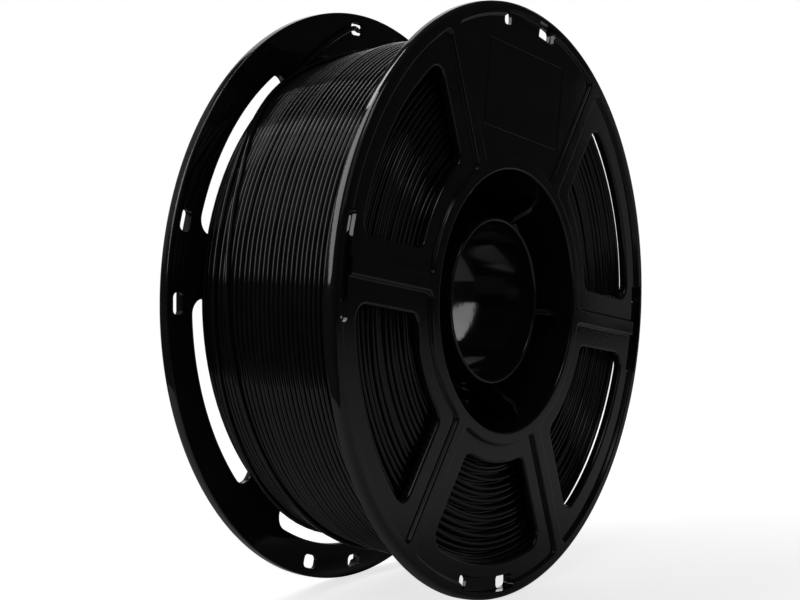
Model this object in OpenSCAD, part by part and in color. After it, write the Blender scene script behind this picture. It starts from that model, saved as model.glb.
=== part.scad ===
// Filament spool: two snap-together mouldings and one strand of wound filament.
// Millimetres, +Z up. The spool stands on its rims with its axis along Y.
// The origin is on the axis, midway between the two outer faces.

/* [Flanges] */
// Diameter of both flanges
flange_d = 200; // [190:1:220]
// Width of the spool over both outer faces
spool_w = 68.5; // [60:0.5:80]
// Thickness of a flange at its rim, spokes and hub ring
flange_t = 4.2; // [4:0.1:5]
// Radius of the rim's outer edge
rim_outer_round = 2; // [0.6:0.1:2.2]
// Radius of the rim's inner edge
rim_inner_round = 1.6; // [0.4:0.1:1.8]
// Width of the raised rim
rim_w = 4.6; // [3.5:0.1:6]
// Depth of the pockets between the spokes
pocket_depth = 1.2; // [0.6:0.1:1.6]
// Corner radius of the pockets
pocket_corner = 2; // [1:0.1:3]
// Turn of the flange pattern, clockwise seen from the front
clock_angle = 8.7; // [-30:0.1:30]

/* [Spokes and windows] */
// Width of a spoke
spoke_w = 5.5; // [4:0.1:7]
// Band of web left between a window and the spoke beside it
window_side_band = 7.6; // [5:0.1:9]
// Band of web left between a window and the rim
window_rim_band = 7.5; // [6:0.1:10]
// Band of web left between a window and the hub ring
window_hub_band = 6.2; // [4:0.1:9]
// Radius of a window's two outer corners
window_outer_corner = 4.8; // [2:0.1:6]
// Radius of a window's two inner corners
window_inner_corner = 3.6; // [2:0.1:5]
// Width of the outlined field on the closed panel
field_w = 50; // [30:1:52]
// Height of the outlined field on the closed panel
field_h = 29.6; // [16:0.2:32]
// Width of the groove that outlines the field
field_groove_w = 0.4; // [0.3:0.05:0.8]
// Depth of the groove that outlines the field
field_groove_depth = 0.3; // [0.2:0.05:0.5]

/* [Filament holes] */
// Distance from the rim's edge to the middle of the holes
hole_inset = 5.15; // [4.8:0.05:5.8]
// Length of a hole, along the rim
hole_l = 7; // [6.6:0.1:7.6]
// Width of a hole, across the rim
hole_w = 4.6; // [4:0.1:4.8]
// Corner radius of a hole
hole_corner = 1.6; // [0.6:0.1:2]
// Length of the channel that joins two holes, along the rim
channel_l = 33.5; // [32:0.5:40]
// Width of the channel
channel_w = 4.9; // [4.8:0.1:5.4]
// Depth of the channel below the outer face
channel_depth = 3; // [2.8:0.1:3.2]

/* [Hub] */
// Diameter inside the drum
drum_d = 88; // [84:0.5:90]
// Thickness of the drum's wall
drum_wall = 2.2; // [1.8:0.1:3]
// Rounding of the drum's mouth
mouth_round = 0.8; // [0.2:0.1:1.2]
// Width of the raised ring round the drum's mouth
hub_ring_w = 4.5; // [3:0.1:6]
// Diameter of the bore that a spindle goes through
bore_d = 53.5; // [50:0.5:56]
// Thickness of the bore tube's wall
bore_wall = 1.5; // [1.2:0.1:2.2]
// Depth of the bore tube's end below the outer face
bore_recess = 6.1; // [3:0.1:12]
// Thickness of the ribs between the bore tube and the drum
rib_t = 2; // [1.4:0.1:3]
// Depth of a rib's edge below the outer face, at the drum
rib_drum_depth = 5.7; // [4.5:0.1:8]
// Fall of a rib's edge from the drum to its knee
rib_knee_fall = 1.2; // [0.4:0.1:2]
// Distance from the drum's wall to a rib's knee
rib_knee_inset = 5.3; // [3:0.1:7]
// Depth of a rib's edge below the outer face, at the bore tube
rib_tube_depth = 21; // [14:0.5:26]

/* [Snap hooks] */
// Width of a hook's arm
hook_w = 8; // [5:0.5:9]
// Thickness of a hook's arm
hook_t = 1.8; // [1.2:0.1:2.2]
// Reach of a hook into the other half
hook_reach = 12; // [9:0.5:16]
// Height of a hook's barb
barb_h = 1.5; // [0.8:0.1:1.7]
// Clearance round a hook
hook_clear = 0.3; // [0.2:0.05:0.5]

/* [Filament] */
// Diameter of the filament
strand_d = 1.75; // [1.6:0.05:1.8]
// Diameter over the fullest turns of the winding
winding_d = 177.2; // [140:0.2:180]
// Fall of the winding's radius at the front flange
front_fall = 0.4; // [0:0.1:5]
// Fall of the winding's radius at the rear flange
rear_fall = 5; // [2:0.1:8]
// Clearance of the wound filament from the drum and the flanges
winding_clear = 0.3; // [0.2:0.05:0.6]
// Least gap between the turns of the outer layer
turn_gap = 0.45; // [0.42:0.01:1.5]
// Gap between the outer layer and the layers below it
layer_gap = 0.3; // [0.2:0.05:0.6]
// Distance between the turns that stand out against a flange
side_turn_pitch = 12; // [8:0.5:14]
// Height by which those turns stand out
side_turn_h = 0.8; // [0.5:0.1:0.85]

/* [Hidden] */

plastic = "#1c1c1e";
filament = "#141415";

sectors = 6;
sector_angle = 360 / sectors;
arc_steps = 4;
corner_steps = 3;
round_fn = 16;
shell_fn = 48;
cut = 1;

flange_r = flange_d / 2;
half_w = spool_w / 2;
inner_z = half_w - flange_t;
drum_r = drum_d / 2;
drum_outer_r = drum_r + drum_wall;
bore_r = bore_d / 2;
bore_outer_r = bore_r + bore_wall;
bore_end_z = half_w - bore_recess;

pocket_inner_r = drum_r + hub_ring_w;
pocket_outer_r = flange_r - rim_w;
window_inner_r = pocket_inner_r + window_hub_band;
window_outer_r = pocket_outer_r - window_rim_band;
window_side = spoke_w / 2 + window_side_band;
field_mid_r = (pocket_inner_r + pocket_outer_r) / 2 - 1.7;

hole_r = flange_r - hole_inset;
hole_end_wall = 0.15;
hole_offset = channel_l / 2 - hole_l / 2 - hole_end_wall;
hole_angle = asin(hole_offset / hole_r);
channel_corner = 1.4;

// Hooks and the slots that they latch in, on either side of each sector's middle
hook_angle = 10;
hook_root_z = 16;
hook_free_z = 6;
barb_z = hook_reach - 4;
barb_flat = 1.2;
slot_z = [barb_z - hook_clear, hook_reach + 0.2];
slot_w = hook_w + 1;

// The winding: its radius at a place along the axis, and the outer layer's run
front_run = 9;
rear_run = 28;
core_w = 2 * (inner_z - winding_clear);
core_steps = 5;
side_turns = 3;
turns_end_y = core_w / 2 - strand_d / 2;
turns_run = 2 * turns_end_y;
loops = min(24, floor(turns_run / (strand_d + turn_gap)));
rings_per_loop = 24;
tube_sides = 6;
chord_drop = winding_d / 2 * (1 - cos(180 / rings_per_loop));
// The filament's end: [angle round from the hole, share of the way out from the
// winding to the hole, distance beyond the rear flange's inner face]. It runs straight
// to the hole, out through it, and lies in the channel.
exit_angle = clock_angle - hole_angle;
END_ROUTE = [
    [-32, 0.00, -1.2],
    [-29, 0.05, -1.2],
    [-26, 0.11, -1.2],
    [-22, 0.22, -1.2],
    [-18, 0.35, -1.2],
    [-14, 0.50, -1.2],
    [-10, 0.65, -1.2],
    [-6, 0.81, -1.2],
    [-2.9, 0.93, -1.2],
    [-2, 0.97, -1],
    [0, 1.00, 0.6],
    [2, 1.00, 2.2],
    [2.9, 1.00, 2.3],
    [6, 1.00, 2.3],
    [9, 1.00, 2.3],
];
turns_end_angle = exit_angle + END_ROUTE[0][0];

function unit(v) = v / norm(v);

function polar(r, a) = [r * sin(a), r * cos(a)];

// Points of an arc about c, from direction u to direction v by the shorter way
function turn(c, r, u, v, n) =
    let (a = atan2(u[1], u[0]), d = atan2(v[1], v[0]) - a, s = d > 180 ? d - 360 : d < -180 ? d + 360 : d)
    [for (i = [0:n]) c + r * [cos(a + s * i / n), sin(a + s * i / n)]];

// The corner at b of the line a, b, c, rounded to radius r
function rounded_corner(a, b, c, r, n) =
    let (u = unit(a - b), v = unit(c - b), h = acos(u * v) / 2, m = b + unit(u + v) * r / sin(h))
    turn(m, r, b + u * r / tan(h) - m, b + v * r / tan(h) - m, n);

// Right-hand side of a window, pocket or slot that lies across +Y between two radii.
// Its side runs along a line at angle a through the axis, moved in by side.
function half_outline(r_in, r_out, a, side, c_in, c_out, n) =
    let (
        e = polar(1, a),
        m = [-e[1], e[0]],
        p = sqrt(pow(r_in + c_in, 2) - pow(side + c_in, 2)) * e + (side + c_in) * m,
        q = sqrt(pow(r_out - c_out, 2) - pow(side + c_out, 2)) * e + (side + c_out) * m,
        a_in = atan2(p[0], p[1]),
        a_out = atan2(q[0], q[1])
    )
    concat(
        [for (i = [0:n - 1]) polar(r_in, a_in * i / n)],
        turn(p, c_in, -p, -m, corner_steps),
        turn(q, c_out, -m, q, corner_steps),
        [for (i = [n - 1:-1:0]) polar(r_out, a_out * i / n)]
    );

module across_top(r_in, r_out, a, side, c_in, c_out, n) {
    right = half_outline(r_in, r_out, a, side, c_in, c_out, n);
    last = len(right) - 1;
    polygon(concat(right, [for (i = [last - 1:-1:1]) [-right[i][0], right[i][1]]]));
}

module pocket_outline() {
    across_top(pocket_inner_r, pocket_outer_r, sector_angle / 2, spoke_w / 2,
        pocket_corner, pocket_corner, arc_steps);
}

module window_outline() {
    across_top(window_inner_r, window_outer_r, sector_angle / 2, window_side,
        window_inner_corner, window_outer_corner, arc_steps);
}

module channel_outline() {
    across_top(hole_r - channel_w / 2, hole_r + channel_w / 2, 0, -channel_l / 2,
        channel_corner, channel_corner, 2);
}

module hole_outline() {
    across_top(hole_r - hole_w / 2, hole_r + hole_w / 2, 0, -hole_l / 2,
        hole_corner, hole_corner, 1);
}

// Square corner at p, pointing along dir, less the circle that rounds it
module corner_waste(p, r, dir) {
    c = p - r * dir;
    difference() {
        translate([min(c[0], c[0] + 2 * r * dir[0]), min(c[1], c[1] + 2 * r * dir[1])])
            square(2 * r);
        translate(c)
            circle(r, $fn = round_fn);
    }
}

// Section of the flange and the drum, from the middle of the spool outwards
module shell_section() {
    difference() {
        union() {
            translate([drum_r, 0])
                square([drum_wall, half_w]);
            translate([drum_r, inner_z])
                square([flange_r - drum_r, flange_t]);
        }
        corner_waste([flange_r, inner_z], rim_inner_round, [1, -1]);
        corner_waste([flange_r, half_w], rim_outer_round, [1, 1]);
        corner_waste([drum_r, half_w], mouth_round, [-1, 1]);
    }
}

module bore_tube_section() {
    translate([bore_r, 0])
        square([bore_wall, bore_end_z]);
}

// Outline of a rib, from inside the tube's wall to inside the drum's
module rib_section() {
    tube_side = bore_r + bore_wall / 2;
    drum_side = drum_r + drum_wall / 2;
    knee = [drum_r - rib_knee_inset, half_w - rib_drum_depth - rib_knee_fall];
    foot = [tube_side, half_w - rib_tube_depth];
    top = [drum_side, half_w - rib_drum_depth];
    polygon(concat([[tube_side, 0], foot], rounded_corner(foot, knee, top, 3, 3), [top, [drum_side, 0]]));
}

module ribs() {
    for (i = [0:sectors - 1])
        rotate([0, 0, sector_angle * (i + 0.5) + 90])
            rotate([90, 0, 0])
                translate([0, 0, -rib_t / 2])
                    linear_extrude(height = rib_t)
                        rib_section();
}

// Outline of a hook: its root on the drum's wall, its arm and its barb
module hook_section() {
    face = drum_r - hook_clear;
    back = face - hook_t;
    polygon([
        [drum_r + drum_wall / 2, hook_root_z],
        [back, hook_root_z - 2],
        [back, -hook_reach + 0.6],
        [back + 0.6, -hook_reach],
        [face - 0.4, -hook_reach],
        [face + barb_h, -barb_z - barb_flat],
        [face + barb_h, -barb_z],
        [face, -barb_z],
        [face, hook_free_z],
        [drum_r + drum_wall / 2, hook_free_z],
    ]);
}

module hooks() {
    for (i = [0:sectors - 1])
        rotate([0, 0, sector_angle * i - hook_angle + 90])
            rotate([90, 0, 0])
                translate([0, 0, -hook_w / 2])
                    linear_extrude(height = hook_w)
                        hook_section();
}

module latch_slots() {
    for (i = [0:sectors - 1])
        rotate([0, 0, sector_angle * i + hook_angle + 90])
            translate([drum_r - cut, -slot_w / 2, slot_z[0]])
                cube([drum_wall + 2 * cut, slot_w, slot_z[1] - slot_z[0]]);
}

module pockets() {
    for (i = [0:sectors - 1])
        rotate([0, 0, sector_angle * i])
            translate([0, 0, half_w - pocket_depth])
                linear_extrude(height = pocket_depth + cut)
                    pocket_outline();
}

// Every sector has a window but the first, which is the closed panel
module windows() {
    for (i = [1:sectors - 1])
        rotate([0, 0, sector_angle * i])
            translate([0, 0, inner_z - cut])
                linear_extrude(height = flange_t + 2 * cut)
                    window_outline();
}

module filament_holes() {
    for (i = [0:3])
        rotate([0, 0, 90 * i]) {
            translate([0, 0, half_w - channel_depth])
                linear_extrude(height = channel_depth + cut)
                    channel_outline();
            for (side = [-1, 1])
                rotate([0, 0, side * hole_angle])
                    translate([0, 0, inner_z - cut])
                        linear_extrude(height = flange_t + 2 * cut)
                            hole_outline();
        }
}

// Fine groove round the plain field on the closed panel
module field_groove() {
    floor_z = half_w - pocket_depth - field_groove_depth;
    low_y = field_mid_r - field_h / 2;
    translate([0, 0, floor_z])
        difference() {
            translate([-field_w / 2, low_y, 0])
                cube([field_w, field_h, flange_t]);
            translate([-field_w / 2 + field_groove_w, low_y + field_groove_w, -cut])
                cube([field_w - 2 * field_groove_w, field_h - 2 * field_groove_w, flange_t + 2 * cut]);
        }
}

// One moulding, with its outer face up and the pattern's closed panel towards +Y
module half_moulding() {
    difference() {
        union() {
            rotate_extrude($fn = shell_fn)
                shell_section();
            rotate_extrude($fn = shell_fn)
                bore_tube_section();
            ribs();
            hooks();
        }
        pockets();
        windows();
        filament_holes();
        field_groove();
        latch_slots();
    }
}

module front_half() {
    color(plastic)
        rotate([0, clock_angle, 0])
            rotate([90, 0, 0])
                half_moulding();
}

// The same moulding, turned half round about the panel's middle line
module rear_half() {
    color(plastic)
        rotate([0, clock_angle, 0])
            rotate([0, 0, 180])
                rotate([90, 0, 0])
                    half_moulding();
}

// Radius of the winding's surface at a place along the axis
function surface_r(y) =
    let (
        front = max(0, 1 - (y + inner_z) / front_run),
        rear = max(0, (y - inner_z + rear_run) / rear_run)
    )
    winding_d / 2 - front_fall * pow(front, 2) - rear_fall * pow(rear, 1.3);

function strand_r(y) = surface_r(y) - strand_d / 2;

// The lower layers, which the outer layer lies on
module filament_core() {
    surface = [
        for (i = [0:core_steps])
            let (y = (core_w - 2 * side_turn_h) * (i / core_steps - 0.5))
            [surface_r(y) - strand_d - layer_gap - chord_drop, y]
    ];
    inner_r = drum_outer_r + winding_clear;
    flat_y = core_w / 2 - side_turn_h;
    // The turns that touch a flange, from the outermost to the innermost
    ridges = [
        for (i = [side_turns - 1:-1:0])
            let (r = inner_r + side_turn_pitch * (i + 0.75))
            each [[r + strand_d / 2, flat_y], [r, core_w / 2], [r - strand_d / 2, flat_y]]
    ];
    color(filament)
        rotate([-90, 0, 0])
            rotate_extrude($fn = shell_fn)
                polygon(concat(
                    surface,
                    ridges,
                    [[inner_r, flat_y], [inner_r, -flat_y]],
                    [for (i = [len(ridges) - 1:-1:0]) [ridges[i][0], -ridges[i][1]]]
                ));
}

// A point at radius r, an angle from the top (clockwise seen from the front) and y
function at(r, a, y) = [r * sin(a), y, r * cos(a)];

function loop_point(i) =
    let (s = i / (rings_per_loop * loops), y = turns_run * (s - 0.5))
    at(strand_r(y), turns_end_angle + 360 * loops * (s - 1), y);

function end_point(row) =
    let (start_r = strand_r(turns_end_y))
    at(start_r + (hole_r - start_r) * row[1], exit_angle + row[0], inner_z + row[2]);

loop_path = [for (i = [0:rings_per_loop * loops]) loop_point(i)];
end_path = [for (i = [1:len(END_ROUTE) - 1]) end_point(END_ROUTE[i])];
// The first end runs straight for one diameter before the turns begin
lead_in = loop_path[0] - strand_d * unit(loop_path[1] - loop_path[0]);
strand_path = concat([lead_in], loop_path, end_path);

// Least gap of the strand to itself, measured between points a quarter turn apart or more
count = len(strand_path);
self_gap = min([
    for (i = [0:count - 1])
        for (j = [i + rings_per_loop / 4:1:min(count - 1, i + 2 * rings_per_loop)])
            norm(strand_path[i] - strand_path[j])
]) - strand_d;
echo(str("Turns of the outer layer: ", loops, ", least gap of the strand to itself: ", self_gap, " mm"));

// One unbroken tube along a path, from triangles, with a ring of points at each place
module strand_tube(path, d, sides) {
    last = len(path) - 1;
    rings = [
        for (i = [0:last])
            let (
                p = path[i],
                along = unit(path[min(i + 1, last)] - path[max(i - 1, 0)]),
                out = unit([p[0], 0, p[2]]),
                level = unit(cross(along, out)),
                up = cross(level, along)
            )
            for (k = [0:sides - 1]) p + d / 2 * (cos(360 * k / sides) * up + sin(360 * k / sides) * level)
    ];
    walls = [
        for (i = [0:last - 1], k = [0:sides - 1])
            let (a = i * sides + k, b = i * sides + (k + 1) % sides)
            each [[a, b, a + sides], [b, b + sides, a + sides]]
    ];
    caps = [for (k = [1:sides - 2]) each [[0, k + 1, k], [last * sides, last * sides + k, last * sides + k + 1]]];
    polyhedron(points = rings, faces = concat(walls, caps));
}

module filament_outer_layer() {
    color(filament)
        strand_tube(strand_path, strand_d, tube_sides);
}

front_half();
rear_half();
filament_core();
filament_outer_layer();
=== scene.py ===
"""Looks of the filament spool: two moulded halves and the wound strand, in a pale studio.

One moulding is drawn in its own frame, in millimetres: z = 0 at the spool's middle,
z = HALF_W at its outer face, +Y towards the closed panel. The strand is drawn in the
spool's frame by an angle from the top (clockwise seen from the front), a radius and a y.
"""
import math

import bmesh
import bpy
from mathutils import Euler, Matrix, Vector, noise


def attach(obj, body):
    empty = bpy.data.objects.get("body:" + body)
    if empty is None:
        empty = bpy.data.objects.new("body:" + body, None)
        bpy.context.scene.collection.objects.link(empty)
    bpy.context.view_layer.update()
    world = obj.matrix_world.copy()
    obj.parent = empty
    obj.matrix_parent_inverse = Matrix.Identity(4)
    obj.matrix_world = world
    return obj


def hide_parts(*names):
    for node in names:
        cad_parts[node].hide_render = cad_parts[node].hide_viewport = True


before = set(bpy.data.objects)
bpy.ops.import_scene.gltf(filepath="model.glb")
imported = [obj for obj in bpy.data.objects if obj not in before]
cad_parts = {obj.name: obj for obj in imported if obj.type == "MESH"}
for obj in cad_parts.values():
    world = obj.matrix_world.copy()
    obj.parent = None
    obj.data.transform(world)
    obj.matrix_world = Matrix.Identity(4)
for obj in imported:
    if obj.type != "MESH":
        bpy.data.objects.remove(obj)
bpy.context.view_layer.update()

# ---------------------------------------------------------------- sizes (mm)
MM = 0.001
CLOCK = 8.7                     # the closed panel's middle, clockwise from the top
SECTORS = 6
SECTOR_ANGLE = 360 / SECTORS
SPOKE_ANGLE = SECTOR_ANGLE / 2  # from a panel's middle to the next spoke's middle

# Flange: rim, spokes and sunk panels
FLANGE_R = 100.0
HALF_W = 34.25
FLANGE_T = 4.2
INNER_Z = HALF_W - FLANGE_T
RIM_W = 4.6
RIM_OUTER_ROUND = 2.0
RIM_INNER_ROUND = 0.5
SPOKE_W = 5.5
HUB_RING_R = 48.5
POCKET_R = FLANGE_R - RIM_W
POCKET_DEPTH = 1.2
POCKET_CORNER = 2.0
POCKET_EDGE_ROUND = 0.8
POCKET_FOOT_ROUND = 0.35
WALL_SLOPE = 0.12               # sideways run of a panel's wall

# Windows, and the framed field in the closed panel
WINDOW_SIDE = SPOKE_W / 2 + 7.6
WINDOW_IN_R = HUB_RING_R + 6.2
WINDOW_OUT_R = POCKET_R - 7.5
WINDOW_IN_CORNER = 3.6
WINDOW_OUT_CORNER = 4.8
WINDOW_FRONT_ROUND = 0.9
WINDOW_BACK_ROUND = 0.5
FIELD_W = 50.0
FIELD_H = 29.6
FIELD_MID_R = (HUB_RING_R + POCKET_R) / 2 - 1.7
GROOVE_W = 0.65
GROOVE_DEPTH = 0.28

# Filament holes, in pairs, each pair in a channel
HOLE_PAIRS = 4
HOLE_R = 94.85
HOLE_L = 7.0
HOLE_W = 4.6
HOLE_CORNER = 1.6
HOLE_END_WALL = 0.15
CHANNEL_L = 33.5
CHANNEL_W = 4.9
CHANNEL_DEPTH = 3.0
CHANNEL_CORNER = 1.4
CHANNEL_FOOT_ROUND = 0.5
HOLE_ANGLE = math.degrees(math.asin((CHANNEL_L / 2 - HOLE_L / 2 - HOLE_END_WALL) / HOLE_R))
OVERCUT = 1.0                   # how far a cutter goes past the face it cuts

# Drum, bore tube and the ribs between them
DRUM_R = 44.0
DRUM_OUT_R = 46.2
DRUM_MID_R = (DRUM_R + DRUM_OUT_R) / 2
DRUM_FOOT_ROUND = 0.6
MOUTH_ROUND = 0.8
BORE_R = 26.75
BORE_OUT_R = 28.25
BORE_MID_R = (BORE_R + BORE_OUT_R) / 2
BORE_END_Z = HALF_W - 6.1
BORE_END_ROUND = 0.7
RIB_T = 2.0
RIB_FOOT_DEPTH = 21             # depths of the rib's edge below the outer face
RIB_KNEE_DEPTH = 6.9
RIB_TOP_DEPTH = 5.7
RIB_KNEE_GAP = 5.3              # from the drum's inside to the knee
RIB_KNEE_ROUND = 3.0
RIB_EDGE_ROUND = 0.35

# Snap hooks, and the slots that the other half's hooks latch in
HOOK_ANGLE = 10
HOOK_W = 8
HOOK_T = 1.8
HOOK_CLEAR = 0.3
HOOK_ROOT_Z = 16
HOOK_ROOT_RISE = 2
HOOK_FREE_Z = 6
HOOK_REACH = 12
HOOK_TIP_BACK = 0.6
HOOK_TIP_FRONT = 0.4
HOOK_EDGE_ROUND = 0.2
BARB = 1.5
BARB_Z = HOOK_REACH - 4
BARB_FLAT = 1.2
SLOT_W = HOOK_W + 1
SLOT_Z = (BARB_Z - HOOK_CLEAR, HOOK_REACH + 0.2)

# Mesh: points round a full turn, how near to a round its flat face starts, and shading
TURN_STEPS = 288
SUPPORT = 0.06
RIM_SUPPORT = 0.08
SHARP_ANGLE = 32


# ---------------------------------------------------------------- mesh tools
def polar(r, angle):
    a = math.radians(angle)
    return Vector((r * math.sin(a), r * math.cos(a)))


def arc(centre, r, start, end, steps):
    """Points of the shorter arc about centre, from direction start to direction end."""
    a = math.atan2(start.y, start.x)
    d = math.atan2(end.y, end.x) - a
    d = (d + math.pi) % (2 * math.pi) - math.pi
    return [centre + r * Vector((math.cos(a + d * i / steps), math.sin(a + d * i / steps)))
            for i in range(steps + 1)]


def sector_outline(r_in, r_out, angle, side, c_in, c_out, inset, steps=24, corner_steps=8):
    """Closed outline across +Y between two radii, with rounded corners, moved in by inset."""
    r_in, r_out, side = r_in + inset, r_out - inset, side + inset
    c_in, c_out = c_in - inset, c_out - inset
    e = polar(1, angle)
    m = Vector((-e.y, e.x))
    p = math.sqrt((r_in + c_in) ** 2 - (side + c_in) ** 2) * e + (side + c_in) * m
    q = math.sqrt((r_out - c_out) ** 2 - (side + c_out) ** 2) * e + (side + c_out) * m
    a_in = math.degrees(math.atan2(p.x, p.y))
    a_out = math.degrees(math.atan2(q.x, q.y))
    right = [polar(r_in, a_in * i / steps) for i in range(steps)]
    right += arc(p, c_in, -p, -m, corner_steps)
    right += arc(q, c_out, -m, q, corner_steps)
    right += [polar(r_out, a_out * i / steps) for i in range(steps - 1, -1, -1)]
    return right + [Vector((-v.x, v.y)) for v in right[-2:0:-1]]


def pocket_outline(inset):
    return sector_outline(HUB_RING_R, POCKET_R, SPOKE_ANGLE, SPOKE_W / 2,
                          POCKET_CORNER, POCKET_CORNER, inset)


def window_outline(inset):
    return sector_outline(WINDOW_IN_R, WINDOW_OUT_R, SPOKE_ANGLE, WINDOW_SIDE,
                          WINDOW_IN_CORNER, WINDOW_OUT_CORNER, inset)


def channel_outline(inset):
    half = CHANNEL_W / 2
    return sector_outline(HOLE_R - half, HOLE_R + half, 0, -CHANNEL_L / 2,
                          CHANNEL_CORNER, CHANNEL_CORNER, inset, 12, 6)


def hole_outline(inset):
    half = HOLE_W / 2
    return sector_outline(HOLE_R - half, HOLE_R + half, 0, -HOLE_L / 2,
                          HOLE_CORNER, HOLE_CORNER, inset, 3, 6)


def field_outline(inset):
    x = FIELD_W / 2 - inset
    y = FIELD_H / 2 - inset
    corners = ((-1, -1), (1, -1), (1, 1), (-1, 1))
    return [Vector((sx * x, FIELD_MID_R + sy * y)) for sx, sy in corners]


def circle(r):
    return [polar(r, 360 * i / TURN_STEPS) for i in range(TURN_STEPS)]


def turned(points, angle):
    """Points turned clockwise seen from the outer face."""
    a = math.radians(angle)
    c, s = math.cos(a), math.sin(a)
    return [Vector((v.x * c + v.y * s, -v.x * s + v.y * c)) for v in points]


def quarter(start, end, bulge, steps=5):
    """(inset, depth) pairs on a quarter ellipse between two corners of its box."""
    pairs = []
    for i in range(steps + 1):
        a = math.pi / 2 * i / steps
        if bulge == "out":
            u, v = math.sin(a), 1 - math.cos(a)
        else:
            u, v = 1 - math.cos(a), math.sin(a)
        pairs.append((start[0] + (end[0] - start[0]) * u, start[1] + (end[1] - start[1]) * v))
    return pairs


def step_profile(depth, top_round, foot_round, slope):
    """A step down of the given depth as (inset, depth) pairs: rounded edge, wall, fillet."""
    edge = quarter((-top_round, 0), (0, top_round), "out")
    foot = quarter((slope, depth - foot_round), (slope + foot_round, depth), "in")
    return [(-top_round - SUPPORT, 0)] + edge + foot + [(slope + foot_round + SUPPORT, depth)]


def through_profile(depth, top_round, back_round):
    """A wall that goes right through a plate, with both of its edges rounded."""
    edge = quarter((-top_round, 0), (0, top_round), "out")
    back = quarter((0, depth - back_round), (-back_round, depth), "in")
    return [(-top_round - SUPPORT, 0)] + edge + back + [(-back_round - SUPPORT, depth)]


def groove_profile():
    """A fine rounded groove, from its outer edge to its inner edge."""
    wall_run = 0.06
    wall_depth = 0.18
    foot_run = 0.2
    return [
        (0, 0),
        (wall_run, wall_depth),
        (foot_run, GROOVE_DEPTH),
        (GROOVE_W - foot_run, GROOVE_DEPTH),
        (GROOVE_W - wall_run, wall_depth),
        (GROOVE_W, 0),
    ]


class Skin:
    """Rings of points, strips between rings and flat fills, gathered in one mesh."""

    def __init__(self):
        self.bm = bmesh.new()

    def ring(self, points, z):
        return [self.bm.verts.new((p.x, p.y, z)) for p in points]

    def strip(self, a, b):
        for i in range(len(a)):
            j = (i + 1) % len(a)
            self.bm.faces.new((a[i], a[j], b[j], b[i]))

    def strips(self, rings):
        for a, b in zip(rings, rings[1:]):
            self.strip(a, b)
        return rings[0], rings[-1]

    def fill(self, *rings):
        edges = []
        for ring in rings:
            for i, v in enumerate(ring):
                w = ring[(i + 1) % len(ring)]
                edges.append(self.bm.edges.get((v, w)) or self.bm.edges.new((v, w)))
        bmesh.ops.triangle_fill(self.bm, use_beauty=True, edges=edges)

    def walls(self, outline, profile, top_z, angle=0):
        """Strips down a wall; returns its first and last ring."""
        return self.strips([self.ring(turned(outline(inset), angle), top_z - depth)
                            for inset, depth in profile])

    def revolve(self, profile):
        return self.strips([self.ring(circle(r), z) for r, z in profile])

    def prism(self, section, thickness, angle, bevel=0.0):
        """A plate with an (r, z) section, standing on a radius at the given angle."""
        bm = bmesh.new()
        a = math.radians(angle)
        out = Vector((math.sin(a), math.cos(a), 0))
        across = Vector((math.cos(a), -math.sin(a), 0))
        sides = []
        for s in (-0.5, 0.5):
            sides.append([bm.verts.new(out * r + Vector((0, 0, z)) + across * s * thickness)
                          for r, z in section])
        bm.faces.new(sides[0])
        bm.faces.new(sides[1])
        for i in range(len(section)):
            j = (i + 1) % len(section)
            bm.faces.new((sides[0][i], sides[0][j], sides[1][j], sides[1][i]))
        bmesh.ops.recalc_face_normals(bm, faces=bm.faces)
        if bevel:
            edges = [e for e in bm.edges if e.calc_face_angle(0) > math.radians(40)]
            bmesh.ops.bevel(bm, geom=edges, offset=bevel, segments=3, profile=0.5, affect="EDGES")
        copies = {v: self.bm.verts.new(v.co) for v in bm.verts}
        for f in bm.faces:
            self.bm.faces.new([copies[v] for v in f.verts])
        bm.free()

    def mesh(self, name, place=Matrix()):
        bmesh.ops.recalc_face_normals(self.bm, faces=self.bm.faces)
        self.bm.transform(Matrix.Scale(MM, 4) @ place)
        data = bpy.data.meshes.new(name)
        self.bm.to_mesh(data)
        self.bm.free()
        return data


def add_object(name, data):
    obj = bpy.data.objects.new(name, data)
    bpy.context.scene.collection.objects.link(obj)
    return obj


# ---------------------------------------------------------------- one moulding
def arc_profile(cr, cz, r, a0, a1, steps):
    """(radius, z) pairs on an arc, by angles from the radial direction towards +z."""
    return [(cr + r * math.cos(math.radians(a0 + (a1 - a0) * i / steps)),
             cz + r * math.sin(math.radians(a0 + (a1 - a0) * i / steps))) for i in range(steps + 1)]


def drum_profile():
    mouth = arc_profile(DRUM_R + MOUTH_ROUND, HALF_W - MOUTH_ROUND, MOUTH_ROUND, 90, 180, 8)
    foot = arc_profile(DRUM_OUT_R + DRUM_FOOT_ROUND, INNER_Z - DRUM_FOOT_ROUND, DRUM_FOOT_ROUND,
                       180, 90, 4)
    return ([(DRUM_R + MOUTH_ROUND + RIM_SUPPORT, HALF_W)] + mouth
            + [(DRUM_R, 0), (DRUM_OUT_R, 0)] + foot)


def rim_profile():
    inner_r = FLANGE_R - RIM_INNER_ROUND
    outer_r = FLANGE_R - RIM_OUTER_ROUND
    inner = arc_profile(inner_r, INNER_Z + RIM_INNER_ROUND, RIM_INNER_ROUND, -90, 0, 8)
    outer = arc_profile(outer_r, HALF_W - RIM_OUTER_ROUND, RIM_OUTER_ROUND, 0, 90, 8)
    return [(inner_r - RIM_SUPPORT, INNER_Z)] + inner + outer + [(outer_r - RIM_SUPPORT, HALF_W)]


def tube_profile():
    z = BORE_END_Z - BORE_END_ROUND
    inside = arc_profile(BORE_R + BORE_END_ROUND, z, BORE_END_ROUND, 180, 90, 6)
    outside = arc_profile(BORE_OUT_R - BORE_END_ROUND, z, BORE_END_ROUND, 90, 0, 6)
    return [(BORE_R, 0)] + inside + outside + [(BORE_OUT_R, 0)]


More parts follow.
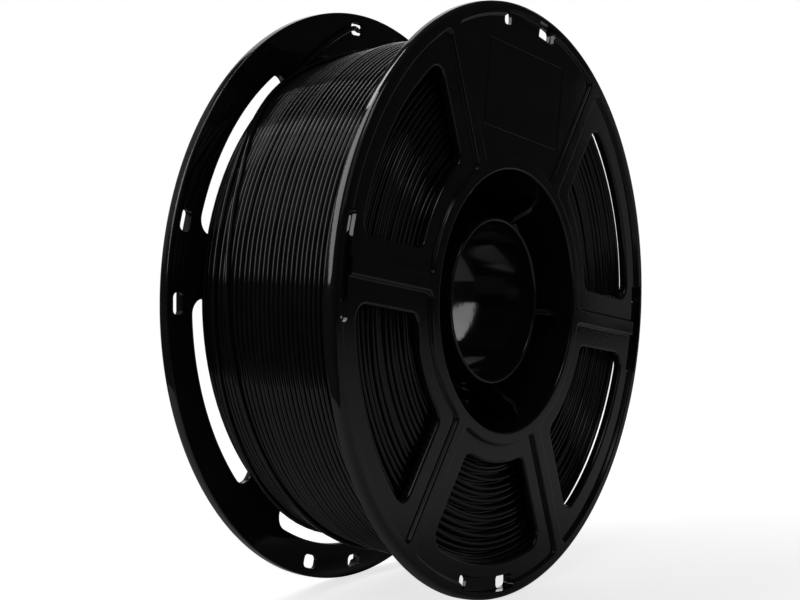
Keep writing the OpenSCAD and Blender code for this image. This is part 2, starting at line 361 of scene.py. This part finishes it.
def rib_section():
    """A rib that slopes up from the bore tube's wall to its knee, and runs on to the drum's wall."""
    foot = Vector((BORE_MID_R, HALF_W - RIB_FOOT_DEPTH))
    knee = Vector((DRUM_R - RIB_KNEE_GAP, HALF_W - RIB_KNEE_DEPTH))
    top = Vector((DRUM_MID_R, HALF_W - RIB_TOP_DEPTH))
    u = (foot - knee).normalized()
    v = (top - knee).normalized()
    half = math.acos(u.dot(v)) / 2
    r = RIB_KNEE_ROUND
    m = knee + (u + v).normalized() * r / math.sin(half)
    start = knee + u * r / math.tan(half) - m
    end = knee + v * r / math.tan(half) - m
    return ([(BORE_MID_R, 0), (foot.x, foot.y)] + [(p.x, p.y) for p in arc(m, r, start, end, 10)]
            + [(top.x, top.y), (DRUM_MID_R, 0)])


def hook_section():
    """An arm from the drum's wall past the middle, with a barb that faces outward."""
    face = DRUM_R - HOOK_CLEAR
    back = face - HOOK_T
    return [
        (DRUM_MID_R, HOOK_ROOT_Z),
        (back, HOOK_ROOT_Z - HOOK_ROOT_RISE),
        (back, HOOK_TIP_BACK - HOOK_REACH),
        (back + HOOK_TIP_BACK, -HOOK_REACH),
        (face - HOOK_TIP_FRONT, -HOOK_REACH),
        (face + BARB, -BARB_Z - BARB_FLAT),
        (face + BARB, -BARB_Z),
        (face, -BARB_Z),
        (face, HOOK_FREE_Z),
        (DRUM_MID_R, HOOK_FREE_Z),
    ]


def flange_skin():
    """Flange and drum in one skin, with the sunk panels and the windows."""
    skin = Skin()
    outer_mouth, inner_foot = skin.revolve(drum_profile())
    inner_rim, outer_rim = skin.revolve(rim_profile())
    pocket = step_profile(POCKET_DEPTH, POCKET_EDGE_ROUND, POCKET_FOOT_ROUND, WALL_SLOPE)
    window = through_profile(FLANGE_T - POCKET_DEPTH, WINDOW_FRONT_ROUND, WINDOW_BACK_ROUND)
    floor_z = HALF_W - POCKET_DEPTH
    pocket_tops = []
    window_backs = []
    for i in range(SECTORS):
        angle = SECTOR_ANGLE * i
        top, floor = skin.walls(pocket_outline, pocket, HALF_W, angle)
        pocket_tops.append(top)
        if i:
            edge, back = skin.walls(window_outline, window, floor_z, angle)
            skin.fill(floor, edge)
            window_backs.append(back)
        else:
            edge, inside = skin.walls(field_outline, groove_profile(), floor_z, angle)
            skin.fill(floor, edge)
            skin.fill(inside)
    skin.fill(outer_mouth, outer_rim, *pocket_tops)
    skin.fill(inner_foot, inner_rim, *window_backs)
    return skin


def channel_and_slot_skin():
    """Cutters of the channels that the filament holes lie in, and of the latch slots."""
    skin = Skin()
    foot_z = CHANNEL_DEPTH - CHANNEL_FOOT_ROUND
    foot = quarter((0, foot_z), (CHANNEL_FOOT_ROUND, CHANNEL_DEPTH), "in", 4)
    for i in range(HOLE_PAIRS):
        top, floor = skin.walls(channel_outline, [(0, -OVERCUT)] + foot, HALF_W, 360 / HOLE_PAIRS * i)
        skin.fill(top)
        skin.fill(floor)
    z0, z1 = SLOT_Z
    r0 = DRUM_R - OVERCUT / 2
    r1 = DRUM_OUT_R + OVERCUT / 2
    for i in range(SECTORS):
        skin.prism([(r0, z0), (r1, z0), (r1, z1), (r0, z1)], SLOT_W, SECTOR_ANGLE * i + HOOK_ANGLE)
    return skin


def hole_skin():
    """Cutters of the filament holes."""
    skin = Skin()
    through = [(0, -OVERCUT), (0, FLANGE_T + OVERCUT)]
    for i in range(HOLE_PAIRS):
        for side in (-1, 1):
            angle = 360 / HOLE_PAIRS * i + side * HOLE_ANGLE
            top, floor = skin.walls(hole_outline, through, HALF_W, angle)
            skin.fill(top)
            skin.fill(floor)
    return skin


def cut(data, skins):
    """Cuts each closed skin from the mesh and returns the result."""
    obj = add_object("cut_work", data)
    tools = []
    for skin in skins:
        tool = add_object("cut_tool", skin.mesh("cut_tool"))
        tools.append(tool)
        mod = obj.modifiers.new("cut", "BOOLEAN")
        mod.operation = "DIFFERENCE"
        mod.solver = "EXACT"
        mod.object = tool
    bpy.context.view_layer.update()
    result = bpy.data.meshes.new_from_object(obj.evaluated_get(bpy.context.evaluated_depsgraph_get()))
    for extra in [obj] + tools:
        bpy.data.objects.remove(extra)
    return result


def inner_skin():
    """Bore tube, ribs and snap hooks, whose ends lie inside the walls they grow from."""
    skin = Skin()
    first, last = skin.revolve(tube_profile())
    skin.strip(last, first)
    for i in range(SECTORS):
        angle = SECTOR_ANGLE * i
        skin.prism(rib_section(), RIB_T, angle + SPOKE_ANGLE, RIB_EDGE_ROUND)
        skin.prism(hook_section(), HOOK_W, angle - HOOK_ANGLE, HOOK_EDGE_ROUND)
    return skin


def moulding():
    """Mesh of one half in its own frame, in metres."""
    body = cut(flange_skin().mesh("body"), [channel_and_slot_skin(), hole_skin()])
    bm = bmesh.new()
    bm.from_mesh(body)
    bm.from_mesh(inner_skin().mesh("inner"))
    bm.to_mesh(body)
    bm.free()
    body.polygons.foreach_set("use_smooth", [True] * len(body.polygons))
    body.set_sharp_from_angle(angle=math.radians(SHARP_ANGLE))
    return body


# ---------------------------------------------------------------- the strand
STRAND_R = 0.875
SMOOTH_ANGLE = 60

# Surface of the winding: (y, radius)
SURFACE = [(-29.75, 88.35), (-26, 88.6), (3, 88.4), (10, 86.6), (20, 84.3), (29.75, 82.8)]

# The turns of the outer layer, from the front flange to the rear one
TURNS = 32
STEPS_PER_TURN = 120
EDGE_Y = 29.1
TURN_WANDER_Y = 0.14
TURN_WANDER_R = 0.12

# Left side of the spool, where the turns by the rear flange rise and the last is pushed aside
LEFT_ANGLE = -80
LEFT_WIDTH = 58
LEFT_RISE = 3.1
LEFT_RISE_Y = 3
LEFT_RISE_RUN = 12
LEFT_PUSH = 0.7

# The first turns pile up at the front flange: places and widths (degrees) and height
PILES = ((82, 28), (172, 24))
PILE_H = 0.75
PILE_DROP = 0.25

# The layer under the outer one
UNDER_STEPS_PER_TURN = 90
UNDER_DEPTH = 1.5
UNDER_WANDER_Y = 0.2
UNDER_WANDER_R = 0.1

# The plain core, and the turns that lie against the flanges and show in the windows
CORE_END_GAP = 2.6
CORE_CLEAR = 0.4
CORE_DEPTH = 3.4
SIDE_IN_R = 50
SIDE_TOP_DEPTH = 0.9
SIDE_PITCH = 2.35
SIDE_CLEAR = 0.25
SIDE_LAYER = 1.35
SIDE_STEPS_PER_TURN = 100
SIDE_WANDER_Y = 0.35
SIDE_WANDER_R = 0.75

# The last turn lies over the layer: (angle, y, height over the layer)
EXIT_ANGLE = -31.4
LAST_TURN = [
    (-571, 28.4, 0.0),
    (-520, 26.6, 1.1),
    (-478, 23.0, 1.55),
    (-435, 21.6, 1.6),
    (-410, 24.6, 1.55),
    (-391, 27.4, 1.45),
    (-372, 21.5, 1.5),
    (-350, 12.0, 1.55),
    (-300, 8.5, 1.6),
    (-240, 9.0, 1.6),
    (-180, 11.0, 1.6),
    (-125, 13.0, 1.6),
    (-85, 15.3, 1.6),
    (-66, 18.0, 1.6),
    (-57, 20.5, 1.6),
    (-48, 23.4, 1.6),
    (-38, 27.2, 1.3),
    (EXIT_ANGLE, 28.7, 0.3),
]
LAST_TURN_ANGLE, LAST_TURN_Y = LAST_TURN[0][:2]

# Free end in the spool's frame (mm), from the winding through the hole into the channel
TAIL = [
    (-39.7, 28.8, 73.1),
    (-31.4, 28.85, 79.3),
    (-20.0, 28.85, 86.7),
    (-11.2, 28.85, 91.3),
    (-5.2, 28.85, 93.9),
    (-2.0, 29.06, 94.7),
    (1.32, 30.65, 94.85),
    (4.63, 32.25, 94.75),
    (6.1, 32.35, 94.65),
    (10.9, 32.35, 94.2),
    (16.1, 32.35, 93.45),
]


def at(r, angle, y):
    a = math.radians(angle)
    return Vector((r * math.sin(a), y, r * math.cos(a)))


def smooth_rows(rows, steps):
    """A smooth curve through rows of numbers, with steps points for each span."""
    points = []
    last = len(rows) - 1
    for i in range(last):
        before = rows[max(i - 1, 0)]
        a, b = rows[i], rows[i + 1]
        after = rows[min(i + 2, last)]
        for k in range(steps):
            t = k / steps
            points.append([0.5 * (2 * q + (r - p) * t + (2 * p - 5 * q + 4 * r - s) * t * t
                                  + (3 * q - p - 3 * r + s) * t ** 3)
                           for p, q, r, s in zip(before, a, b, after)])
    points.append(list(rows[last]))
    return points


def tube(bm, path, sides):
    """One unbroken tube along a path round the spool, with closed ends."""
    rings = []
    last = len(path) - 1
    for i, p in enumerate(path):
        along = (path[min(i + 1, last)] - path[max(i - 1, 0)]).normalized()
        out = Vector((p.x, 0, p.z))
        level = along.cross(out).normalized()
        up = level.cross(along)
        rings.append([bm.verts.new((p + STRAND_R * (math.cos(a) * up + math.sin(a) * level)) * MM)
                      for a in (2 * math.pi * k / sides for k in range(sides))])
    for a, b in zip(rings, rings[1:]):
        for k in range(sides):
            j = (k + 1) % sides
            bm.faces.new((a[k], a[j], b[j], b[k]))
    bm.faces.new(rings[0][::-1])
    bm.faces.new(rings[-1])


def surface_r(y):
    for (y0, r0), (y1, r1) in zip(SURFACE, SURFACE[1:]):
        if y <= y1:
            return r0 + (r1 - r0) * max(0.0, (y - y0) / (y1 - y0))
    return SURFACE[-1][1]


def swell(angle, centre, width):
    """A smooth rise to 1 at one place round the spool."""
    return math.exp(-(((angle - centre + 180) % 360 - 180) / width) ** 2)


def layer_r(angle, y):
    """Radius of the winding's surface: the turns by the rear flange rise at the left."""
    near = min(1.0, max(0.0, (y - LEFT_RISE_Y) / LEFT_RISE_RUN))
    return surface_r(y) + LEFT_RISE * near * near * (3 - 2 * near) * swell(angle, LEFT_ANGLE, LEFT_WIDTH)


def wander(angle, turn, seed, scale=1.2):
    """Smooth noise from about -1 to 1 along a strand, different for each turn and seed."""
    a = math.radians(angle)
    shift = 7.3 * seed
    height = 1.7 * turn + 3.1 * seed
    gain = 1.6
    return gain * noise.noise(Vector((scale * math.cos(a) + shift, scale * math.sin(a), height)))


def wandering_point(angle, turn, y, r, wander_y, wander_r, seed):
    """A point of a strand that strays a little along y and in radius."""
    r += wander_r * wander(angle, turn, seed + 5)
    y += wander_y * wander(angle, turn, seed)
    return at(r, angle, y)


def first_turns():
    """A turn along the front flange, then the layer up to the last turn.

    start goes from 0 to 1 over the first two turns, fade from 1 to 0 over the last twelfth
    of the layer and rear from 0 to 1 over its last turn, whose last tenth let_go takes back.
    """
    path = []
    for i in range(-STEPS_PER_TURN, TURNS * STEPS_PER_TURN):
        turn = i / STEPS_PER_TURN
        angle = LAST_TURN_ANGLE + 360 * (turn - TURNS)
        start = min(1.0, max(0.0, turn / 2))
        fade = min(1.0, 12 * (1 - turn / TURNS))
        rear = max(0.0, turn - TURNS + 1)
        let_go = 1 if turn < TURNS - 0.1 else 10 * (TURNS - turn)
        y = -EDGE_Y + (LAST_TURN_Y + EDGE_Y) * max(0.0, turn / TURNS)
        y += LEFT_PUSH * rear * swell(angle, LEFT_ANGLE, LEFT_WIDTH) * let_go
        piled = PILE_H * sum(swell(angle, centre, width) for centre, width in PILES) - PILE_DROP
        r = layer_r(angle, y) - STRAND_R + piled * (1 - start)
        wander_y = TURN_WANDER_Y * fade * start
        path.append(wandering_point(angle, turn, y, r, wander_y, TURN_WANDER_R * fade, 1))
    return path


def outer_path():
    """The outer layer, the last turn over it, and the free end."""
    path = first_turns()
    last_turn = [at(layer_r(angle, y) - STRAND_R + lift, angle, y)
                 for angle, y, lift in smooth_rows(LAST_TURN, 12)]
    path += last_turn[:-1]
    path += [Vector(p) for p in smooth_rows([tuple(last_turn[-1])] + TAIL, 5)]
    return path


def under_path():
    """The layer under the outer one, wound the other way along the spool."""
    path = []
    steps = TURNS * UNDER_STEPS_PER_TURN
    reach = EDGE_Y - 1
    for i in range(steps):
        s = i / steps
        angle = LAST_TURN_ANGLE + 360 * TURNS * s
        y = reach - 2 * reach * s
        r = layer_r(angle, y) - STRAND_R - UNDER_DEPTH
        path.append(wandering_point(angle, TURNS * s, y, r, UNDER_WANDER_Y, UNDER_WANDER_R, 2))
    return path


def side_path(side, r0, r1, recess, seed):
    """Turns against a flange, seen through its windows, spiralling out."""
    path = []
    turns = (r1 - r0) / SIDE_PITCH
    steps = int(turns * SIDE_STEPS_PER_TURN)
    for i in range(steps):
        s = i / steps
        t = turns * s
        angle = side * 360 * t
        r = r0 + (r1 - r0) * s
        depth = recess + SIDE_WANDER_Y * (1 + wander(angle, t, seed + 9, 0.9))
        y = side * (INNER_Z - SIDE_CLEAR - STRAND_R - depth)
        path.append(wandering_point(angle, t, y, r, 0, SIDE_WANDER_R, seed))
    return path


def smoothed(bm, name):
    data = bpy.data.meshes.new(name)
    bm.to_mesh(data)
    bm.free()
    data.polygons.foreach_set("use_smooth", [True] * len(data.polygons))
    data.set_sharp_from_angle(angle=math.radians(SMOOTH_ANGLE))
    return data


def wound_strand():
    """The outer layer with the last turn over it and the free end."""
    bm = bmesh.new()
    tube(bm, outer_path(), 14)
    return smoothed(bm, "wound_strand")


def core_skin():
    """The plain inner body of the winding, which the drawn turns hide."""
    skin = Skin()
    edge = INNER_Z - CORE_END_GAP
    inner_r = DRUM_OUT_R + CORE_CLEAR
    rows = (-edge, -26, -20, -10, 0, 10, 20, 26, edge)
    surface = [(surface_r(y) - CORE_DEPTH, y) for y in rows]
    first, last = skin.revolve([(inner_r, -edge)] + surface + [(inner_r, edge)])
    skin.strip(last, first)
    return skin


def lower_layers():
    """A core, the layer under the outer one and the turns that lie against the flanges."""
    core = core_skin().mesh("core", Matrix.Rotation(math.radians(-90), 4, "X"))
    bm = bmesh.new()
    bm.from_mesh(core)
    bpy.data.meshes.remove(core)
    tube(bm, under_path(), 8)
    for side in (-1, 1):
        top = surface_r(side * 29) - SIDE_TOP_DEPTH
        tube(bm, side_path(side, SIDE_IN_R, top, 0.0, 11 + side), 10)
        tube(bm, side_path(side, SIDE_IN_R - 1, top - 1, SIDE_LAYER, 21 + side), 8)
    return smoothed(bm, "lower_layers")


# ---------------------------------------------------------------- materials
MOTTLE_LOW = 0.3
MOTTLE_HIGH = 0.7
WAVE_H = 0.0004


def noise_texture(tree, scale, detail):
    """The value of a noise in the object's own frame."""
    place = tree.nodes.new("ShaderNodeTexCoord")
    texture = tree.nodes.new("ShaderNodeTexNoise")
    texture.inputs["Scale"].default_value = scale
    texture.inputs["Detail"].default_value = detail
    tree.links.new(place.outputs["Object"], texture.inputs["Vector"])
    return texture.outputs["Fac"]


def spread(tree, value, low, high, to_low, to_high):
    """A value carried from one range to another."""
    node = tree.nodes.new("ShaderNodeMapRange")
    for name, number in (("From Min", low), ("From Max", high), ("To Min", to_low), ("To Max", to_high)):
        node.inputs[name].default_value = number
    tree.links.new(value, node.inputs["Value"])
    return node.outputs["Result"]


def shades(tree, value, colour):
    """A colour that runs from a quarter darker to a quarter lighter, by a value."""
    node = tree.nodes.new("ShaderNodeValToRGB")
    ends = ((MOTTLE_LOW, 0.75), (MOTTLE_HIGH, 1.25))
    for element, (position, factor) in zip(node.color_ramp.elements, ends):
        element.position = position
        element.color = [factor * c for c in colour] + [1]
    tree.links.new(value, node.inputs["Fac"])
    return node.outputs["Color"]


def waves(tree, scale, strength):
    """The normal of a finely wavy surface."""
    node = tree.nodes.new("ShaderNodeBump")
    node.inputs["Strength"].default_value = strength
    node.inputs["Distance"].default_value = WAVE_H
    tree.links.new(noise_texture(tree, scale, 3), node.inputs["Height"])
    return node.outputs["Normal"]


def black_plastic(name, colour, roughness, rough_spread, specular, mottle_scale, wave_scale, wave_strength):
    """Black plastic: faint mottling in gloss and a fine waviness of the surface."""
    mat = bpy.data.materials.new(name)
    mat.use_nodes = True
    tree = mat.node_tree
    bsdf = tree.nodes["Principled BSDF"]
    bsdf.inputs["Specular IOR Level"].default_value = specular
    mottle = noise_texture(tree, mottle_scale, 4)
    rough_low = roughness - rough_spread
    rough_high = roughness + rough_spread
    rough = spread(tree, mottle, MOTTLE_LOW, MOTTLE_HIGH, rough_low, rough_high)
    tree.links.new(rough, bsdf.inputs["Roughness"])
    tree.links.new(shades(tree, mottle, colour), bsdf.inputs["Base Color"])
    tree.links.new(waves(tree, wave_scale, wave_strength), bsdf.inputs["Normal"])
    return mat


spool_plastic = black_plastic("spool_plastic", colour=(0.01, 0.01, 0.0102), roughness=0.075,
                              rough_spread=0.02, specular=0.5, mottle_scale=60,
                              wave_scale=700, wave_strength=0.03)
strand_plastic = black_plastic("strand_plastic", colour=(0.008, 0.008, 0.008), roughness=0.07,
                               rough_spread=0.02, specular=0.38, mottle_scale=150,
                               wave_scale=150, wave_strength=0.04)

# ---------------------------------------------------------------- pieces
half_data = moulding()
upright = Matrix.Rotation(math.radians(90), 4, "X")
turned_round = Matrix.Rotation(math.radians(180), 4, "Z")
clocked = Matrix.Rotation(math.radians(CLOCK), 4, "Y")
for node, place in (("front_half", clocked @ upright), ("rear_half", clocked @ turned_round @ upright)):
    data = half_data.copy()
    data.transform(place)
    data.materials.append(spool_plastic)
    piece = add_object(node.replace("half", "moulding"), data)
    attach(piece, "root")
    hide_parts(node)
bpy.data.meshes.remove(half_data)

for name, data, node in (("wound_strand", wound_strand(), "filament_outer_layer"),
                         ("lower_layers", lower_layers(), "filament_core")):
    data.materials.append(strand_plastic)
    piece = add_object(name, data)
    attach(piece, "root")
    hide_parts(node)

# ---------------------------------------------------------------- floor (metres)
FLOOR_HALF = 0.7
FLOOR_GAP = 0.0002
FLOOR_PLACE = Vector((0.5, -0.5, -FLANGE_R * MM - FLOOR_GAP))
FLOOR_SHADE = 0.58
FADE_START = 0.2                # distances from the spool's middle
FADE_END = 0.9
NEAR_GLOW = 0.75


def floor_material():
    """Pale floor. To the camera it is white, fading fully to white away from the spool."""
    mat = bpy.data.materials.new("pale_floor")
    mat.use_nodes = True
    tree = mat.node_tree
    nodes, links = tree.nodes, tree.links
    bsdf = nodes["Principled BSDF"]
    bsdf.inputs["Base Color"].default_value = (FLOOR_SHADE, FLOOR_SHADE, FLOOR_SHADE, 1)
    bsdf.inputs["Roughness"].default_value = 0.7
    bsdf.inputs["Specular IOR Level"].default_value = 0.2
    bsdf.inputs["Emission Color"].default_value = (1, 1, 1, 1)
    place = nodes.new("ShaderNodeTexCoord")
    distance = nodes.new("ShaderNodeVectorMath")
    distance.operation = "LENGTH"
    links.new(place.outputs["Object"], distance.inputs[0])
    glow = spread(tree, distance.outputs["Value"], FADE_START, FADE_END, NEAR_GLOW, 1.0)
    ray = nodes.new("ShaderNodeLightPath")
    seen = nodes.new("ShaderNodeMath")
    seen.operation = "MULTIPLY"
    links.new(glow, seen.inputs[0])
    links.new(ray.outputs["Is Camera Ray"], seen.inputs[1])
    links.new(seen.outputs["Value"], bsdf.inputs["Emission Strength"])
    return mat


floor_bm = bmesh.new()
bmesh.ops.create_grid(floor_bm, x_segments=1, y_segments=1, size=FLOOR_HALF)
floor_data = bpy.data.meshes.new("floor")
floor_bm.to_mesh(floor_data)
floor_bm.free()
floor_data.transform(Matrix.Translation(FLOOR_PLACE))
floor_data.materials.append(floor_material())
floor = add_object("floor", floor_data)

# ---------------------------------------------------------------- world, lamps, camera (metres)
ROOM_LIGHT = 0.025
PANEL_DISTANCE = 1.3


def background(tree, strength):
    node = tree.nodes.new("ShaderNodeBackground")
    node.inputs["Color"].default_value = (1, 1, 1, 1)
    node.inputs["Strength"].default_value = strength
    return node.outputs["Background"]


def studio_world():
    """A dim room that the camera sees as white."""
    world = bpy.data.worlds.new("studio")
    world.use_nodes = True
    tree = world.node_tree
    tree.nodes.clear()
    out = tree.nodes.new("ShaderNodeOutputWorld")
    mix = tree.nodes.new("ShaderNodeMixShader")
    ray = tree.nodes.new("ShaderNodeLightPath")
    tree.links.new(ray.outputs["Is Camera Ray"], mix.inputs["Fac"])
    tree.links.new(background(tree, ROOM_LIGHT), mix.inputs[1])
    tree.links.new(background(tree, 1.0), mix.inputs[2])
    tree.links.new(mix.outputs["Shader"], out.inputs["Surface"])
    return world


def panel(name, azimuth, elevation, roll, width, height, radiance):
    """A lit panel that faces the spool from a direction (degrees), at a plain brightness.

    The roll leans its upright sides to the right, seen from the spool.
    """
    tilt = Euler((0, -math.radians(elevation), math.radians(azimuth)))
    away = tilt.to_matrix() @ Vector((1, 0, 0))
    lamp = bpy.data.lights.new(name, "AREA")
    lamp.shape = "RECTANGLE"
    lamp.size = width
    lamp.size_y = height
    lamp.energy = radiance * math.pi * width * height
    obj = bpy.data.objects.new(name, lamp)
    facing = away.to_track_quat("Z", "Y").to_matrix() @ Matrix.Rotation(math.radians(roll), 3, "Z")
    obj.matrix_world = Matrix.Translation(away * PANEL_DISTANCE) @ facing.to_4x4()
    obj.visible_camera = False
    bpy.context.scene.collection.objects.link(obj)


bpy.context.scene.world = studio_world()
panel("left_panel", 145.5, 38.5, 20, 0.46, 1.6, 3.3)
panel("strip_panel", 92, 61.5, -22, 0.55, 0.11, 7.0)
panel("middle_panel", 106, 30, 0, 1.45, 0.95, 0.22)
panel("back_panel", 46, 32, -40, 0.44, 1.0, 1.1)
panel("right_panel", 16, 15, 0, 0.65, 0.7, 1.2)
panel("low_right_panel", -14, 2, 0, 0.65, 0.27, 0.11)
panel("front_panel", -138, 42, 0, 0.95, 0.7, 0.25)
panel("fore_panel", -136, 62, 0, 0.45, 0.4, 1.7)

# The camera stands to the left of the front face, about level with the middle
EYE = Vector((-501.11, -328.25, 27.87)) * MM
RIGHT = Vector((0.5604, -0.8282, 0.0))
UP = Vector((0.0392, 0.0266, 0.9989))
BACK = Vector((-0.8273, -0.5598, 0.0474))
SENSOR_W = 36
IMAGE_W_PX = 800
FOCAL_PX = 1728.382

camera = bpy.data.cameras.new("camera")
camera.sensor_width = SENSOR_W
camera.lens = SENSOR_W * FOCAL_PX / IMAGE_W_PX
camera_obj = bpy.data.objects.new("camera", camera)
rotation = Matrix((RIGHT, UP, BACK)).transposed().to_4x4()
camera_obj.matrix_world = Matrix.Translation(EYE) @ rotation
bpy.context.scene.collection.objects.link(camera_obj)
bpy.context.scene.camera = camera_obj
bpy.context.scene.view_settings.view_transform = "Standard"
